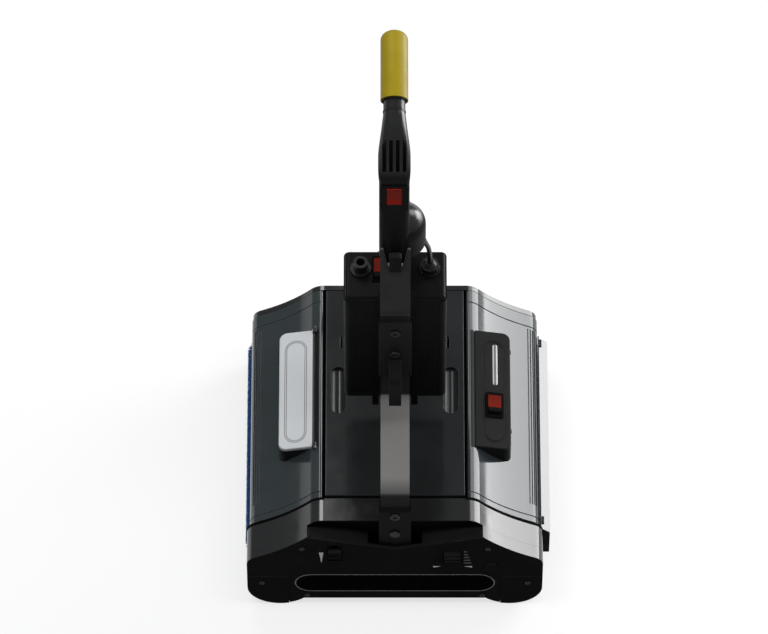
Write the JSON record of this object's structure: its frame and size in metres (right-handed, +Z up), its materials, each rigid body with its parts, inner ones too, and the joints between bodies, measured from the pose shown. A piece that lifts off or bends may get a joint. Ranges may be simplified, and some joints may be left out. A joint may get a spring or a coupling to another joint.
{
  "type": "steam floor scrubber",
  "caption": "Compact floor scrubber with counter-turning cylindrical brushes, a pick-up drum, clean and recovery tanks, and a steam boiler and grip on a swinging stirrup",
  "frame": {"origin": "on the floor under the middle of the machine", "axes": "+Z up, +Y from the front cover to the rear, +X to the side with the splash guard"},
  "size_m": [0.4561, 0.459, 0.9934],
  "materials": {
    "black_shell": "fine matt grain",
    "satin_black": "satin",
    "badge": "gloss, bare",
    "steel": "turned steel",
    "control_black": "satin",
    "plate_metal": "milled",
    "bearing_brass": "turned",
    "brush_core": "moulded",
    "blue_bristle": "nylon filament",
    "drum_rubber": "matt",
    "cast_aluminium": "cast",
    "motor_paint": "satin paint",
    "belt_rubber": "ribbed",
    "gloss_anthracite": "high gloss",
    "console_black": "fine grain",
    "pale_lid": "satin",
    "sight_glass": "clear",
    "red_rocker": "gloss",
    "tub_grey": "moulded",
    "gloss_black": "high gloss",
    "grey_paint": "powder coat",
    "dark_paint": "powder coat",
    "boiler_metal": "black anodised",
    "vessel_steel": "spun",
    "lead_rubber": "smooth",
    "handle_black": "fine grain",
    "yellow_grip": "soft touch"
  },
  "bodies": {
    "chassis": {"front_cover": "black_shell", "badge_plate": "badge", "brush_covers": "black_shell", "cover_screws": "steel", "drive_housing": "satin_black", "front_end_plate": "plate_metal", "rear_end_plate": "satin_black", "tie_rods": "steel", "shaft_bearings": "bearing_brass", "pivot_pins": "steel", "scraper": "drum_rubber", "gearbox": "cast_aluminium", "motor": "motor_paint", "drive_belts": "belt_rubber", "right_tank": "gloss_anthracite", "left_tank": "gloss_anthracite", "left_console": "console_black", "lid_hinge_pins": "steel", "control_console": "console_black", "sight_glass": "sight_glass", "console_switch_frame": "control_black", "splash_guard": "gloss_black"},
    "stirrup": {"front_bar": "grey_paint", "rear_bar": "grey_paint", "front_bracket": "satin_black", "rear_bracket": "satin_black", "hook_bracket": "satin_black", "upper_plate": "dark_paint", "post_spacers": "satin_black", "stirrup_screws": "steel", "boiler_case": "boiler_metal", "boiler_pan": "satin_black", "boiler_cap": "satin_black", "boiler_vessel": "vessel_steel", "boiler_sockets": "control_black", "lead_plug": "lead_rubber", "stirrup_switch_frames": "control_black", "handle_base": "handle_black", "handle_neck": "handle_black", "handle_tube": "handle_black", "handle_grip": "yellow_grip", "boiler_lead": "lead_rubber"},
    "left_brush": {"left_brush_core": "brush_core", "left_bristles": "blue_bristle"},
    "right_brush": {"right_brush_core": "brush_core", "right_bristles": "blue_bristle"},
    "drum": {"pickup_drum": "drum_rubber"},
    "left_drive": {"left_drive_pulley": "cast_aluminium"},
    "right_drive": {"right_drive_pulley": "cast_aluminium"},
    "recovery": {"recovery_cover": "gloss_anthracite", "recovery_tub": "tub_grey"},
    "filler_lid": {"filler_lid": "pale_lid"},
    "console_rocker": {"console_rocker": "red_rocker"},
    "boiler_rocker": {"boiler_rocker": "red_rocker"},
    "handle_rocker": {"handle_rocker": "red_rocker"},
    "flow_slider": {"flow_slider": "control_black"},
    "pressure_wheel": {"pressure_wheel": "control_black"},
    "push_button": {"push_button": "control_black"}
  },
  "joints": [
    {"name": "stirrup_swing", "type": "hinge", "parent": "chassis", "child": "stirrup", "pos_m": [0, -0.20175, 0.1955], "axis": [0, 1, 0], "range_deg": [-10, 40]},
    {"name": "left_brush_spin", "type": "hinge", "parent": "chassis", "child": "left_brush", "pos_m": [-0.1715, 0, 0.0545], "axis": [0, 1, 0], "continuous": true},
    {"name": "right_brush_spin", "type": "hinge", "parent": "chassis", "child": "right_brush", "pos_m": [0.1715, 0, 0.0545], "axis": [0, 1, 0], "continuous": true},
    {"name": "left_drive_spin", "type": "hinge", "parent": "chassis", "child": "left_drive", "pos_m": [-0.032, 0, 0.15], "axis": [0, 1, 0], "continuous": true},
    {"name": "right_drive_spin", "type": "hinge", "parent": "chassis", "child": "right_drive", "pos_m": [0.032, 0, 0.15], "axis": [0, 1, 0], "continuous": true},
    {"name": "drum_spin", "type": "hinge", "parent": "chassis", "child": "drum", "pos_m": [0, 0, 0.058], "axis": [0, 1, 0], "continuous": true},
    {"name": "recovery_lift", "type": "slide", "parent": "chassis", "child": "recovery", "axis": [0, 0, 1], "range_m": [0, 0.025]},
    {"name": "filler_lid_hinge", "type": "hinge", "parent": "chassis", "child": "filler_lid", "pos_m": [-0.1193, 0.03375, 0.2108], "axis": [0, 1, 0], "range_deg": [0, 95]},
    {"name": "console_rocker_tilt", "type": "hinge", "parent": "chassis", "child": "console_rocker", "pos_m": [0.14852, 0.00625, 0.20269], "axis": [0.9787, 0, -0.2051], "range_deg": [0, 14]},
    {"name": "boiler_rocker_tilt", "type": "hinge", "parent": "stirrup", "child": "boiler_rocker", "pos_m": [-0.022, 0.00675, 0.58], "axis": [1, 0, 0], "range_deg": [0, 14]},
    {"name": "handle_rocker_tilt", "type": "hinge", "parent": "stirrup", "child": "handle_rocker", "pos_m": [-0.0017, -0.05125, 0.859], "axis": [1, 0, 0], "range_deg": [0, 14]},
    {"name": "flow_slide", "type": "slide", "parent": "chassis", "child": "flow_slider", "axis": [0, 0, 1], "range_m": [-0.012, 0.012]},
    {"name": "pressure_turn", "type": "hinge", "parent": "chassis", "child": "pressure_wheel", "pos_m": [0.0854, -0.21225, 0.136], "axis": [1, 0, 0], "range_deg": [-120, 120]},
    {"name": "button_press", "type": "slide", "parent": "chassis", "child": "push_button", "axis": [0, 1, 0], "range_m": [0, 0.003], "stiffness_N_per_m": 300, "springref_m": -0.002}
  ],
  "couplings": [
    {"joint": "right_brush_spin", "follows": "left_brush_spin", "ratio": -1},
    {"joint": "left_drive_spin", "follows": "left_brush_spin", "ratio": 1.8889},
    {"joint": "right_drive_spin", "follows": "left_brush_spin", "ratio": -1.8889},
    {"joint": "drum_spin", "follows": "left_brush_spin", "ratio": 1.3077}
  ]
}
